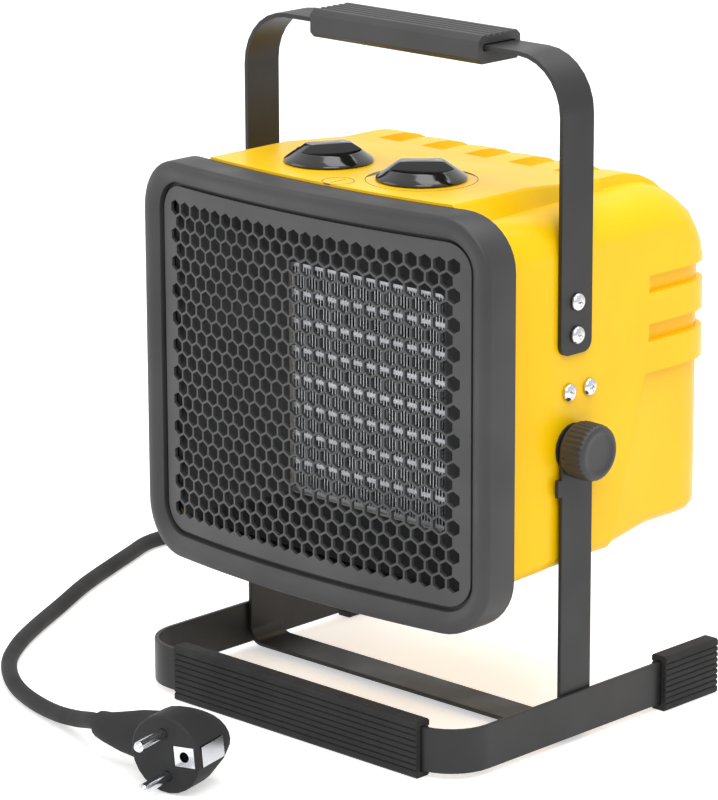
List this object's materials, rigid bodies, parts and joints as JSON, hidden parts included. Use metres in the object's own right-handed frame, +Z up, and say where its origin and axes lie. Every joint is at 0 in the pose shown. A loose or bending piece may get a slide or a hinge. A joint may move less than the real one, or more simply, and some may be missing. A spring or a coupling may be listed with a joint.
{
  "type": "forced air heater",
  "caption": "Portable fan heater on a tilting strap stand, with a hexagon grille, two dials on top, a carrying handle, clamp knobs and a mains cord.",
  "frame": {"origin": "on the floor under the middle of the object, without the cord and plug", "axes": "+Z up, the air leaves towards -Y, +X to the right of someone who looks at the object from the front along +Y"},
  "size_m": [0.3601, 0.3998, 0.3099],
  "materials": {
    "housing_yellow": "satin yellow moulded plastic",
    "bezel_black": "fine matt black plastic",
    "duct_grey": "matt dark paint",
    "steel_black": "satin black powder coat",
    "rubber_black": "matt black rubber",
    "dial_black": "gloss black plastic",
    "aluminium": "bright pressed fins",
    "zinc_steel": "zinc-plated sheet steel",
    "chrome": "bright plating",
    "motor_steel": "drawn steel can",
    "fan_black": "moulded black plastic",
    "terminal_white": "off-white moulded insulator"
  },
  "bodies": {
    "stand": {"base_strap": "steel_black", "support_strap": "steel_black", "front_sleeve": "rubber_black", "rear_foot_left": "rubber_black", "rear_foot_right": "rubber_black", "mains_cord_fall": "rubber_black", "mains_cord_coil": "rubber_black", "mains_cord_run": "rubber_black", "mains_cord_tie": "rubber_black", "plug_body": "rubber_black", "plug_pin_upper": "chrome", "plug_pin_lower": "chrome", "plug_earth_socket": "chrome", "plug_earth_clip": "chrome"},
    "left_clamp": {"clamp_knob_left": "bezel_black", "clamp_stud_left": "zinc_steel"},
    "right_clamp": {"clamp_knob_right": "bezel_black", "clamp_stud_right": "zinc_steel"},
    "selector": {"selector_dial": "dial_black", "selector_shaft": "zinc_steel"},
    "thermostat_control": {"thermostat_dial": "dial_black", "thermostat_shaft": "zinc_steel"},
    "fan": {"fan_wheel": "fan_black", "motor_shaft": "zinc_steel"},
    "heater": {"housing_shell": "housing_yellow", "front_bezel": "bezel_black", "hex_grille": "bezel_black", "air_duct": "duct_grey", "element_frame": "terminal_white", "heating_element": "aluminium", "fan_baffle": "zinc_steel", "motor_bracket": "zinc_steel", "fan_motor": "motor_steel", "thermal_cutout": "aluminium", "terminal_block": "terminal_white", "rear_grille": "bezel_black", "rear_grille_screw_1": "zinc_steel", "rear_grille_screw_2": "zinc_steel", "rear_grille_screw_3": "zinc_steel", "rear_grille_screw_4": "zinc_steel", "selector_switch": "terminal_white", "thermostat": "terminal_white", "handle_strap": "steel_black", "handle_grip": "bezel_black", "side_plate_left": "zinc_steel", "pivot_nut_left": "zinc_steel", "friction_washer_left": "rubber_black", "pad_screw_left_1": "chrome", "pad_screw_left_2": "chrome", "handle_screw_left_1": "chrome", "handle_screw_left_2": "chrome", "side_plate_right": "zinc_steel", "pivot_nut_right": "zinc_steel", "friction_washer_right": "rubber_black", "pad_screw_right_1": "chrome", "pad_screw_right_2": "chrome", "handle_screw_right_1": "chrome", "handle_screw_right_2": "chrome", "cord_strain_relief": "rubber_black"}
  },
  "joints": [
    {"name": "heater_tilt", "type": "hinge", "parent": "stand", "child": "heater", "pos_m": [0, -0.0082, 0.1335], "axis": [1, 0, 0], "range_deg": [-60, 20]},
    {"name": "left_clamp_turn", "type": "hinge", "parent": "heater", "child": "left_clamp", "pos_m": [-0.1, -0.0082, 0.1335], "axis": [-1, 0, 0], "range_deg": [0, 360]},
    {"name": "right_clamp_turn", "type": "hinge", "parent": "heater", "child": "right_clamp", "pos_m": [0.1, -0.0082, 0.1335], "axis": [1, 0, 0], "range_deg": [0, 360]},
    {"name": "selector_turn", "type": "hinge", "parent": "heater", "child": "selector", "pos_m": [-0.028, -0.0332, 0.25], "axis": [0, 0, 1], "range_deg": [-135, 0]},
    {"name": "thermostat_turn", "type": "hinge", "parent": "heater", "child": "thermostat_control", "pos_m": [0.028, -0.0332, 0.25], "axis": [0, 0, 1], "range_deg": [-270, 0]},
    {"name": "fan_spin", "type": "hinge", "parent": "heater", "child": "fan", "pos_m": [0, 0.01, 0.1455], "axis": [0, 1, 0], "continuous": true}
  ]
}
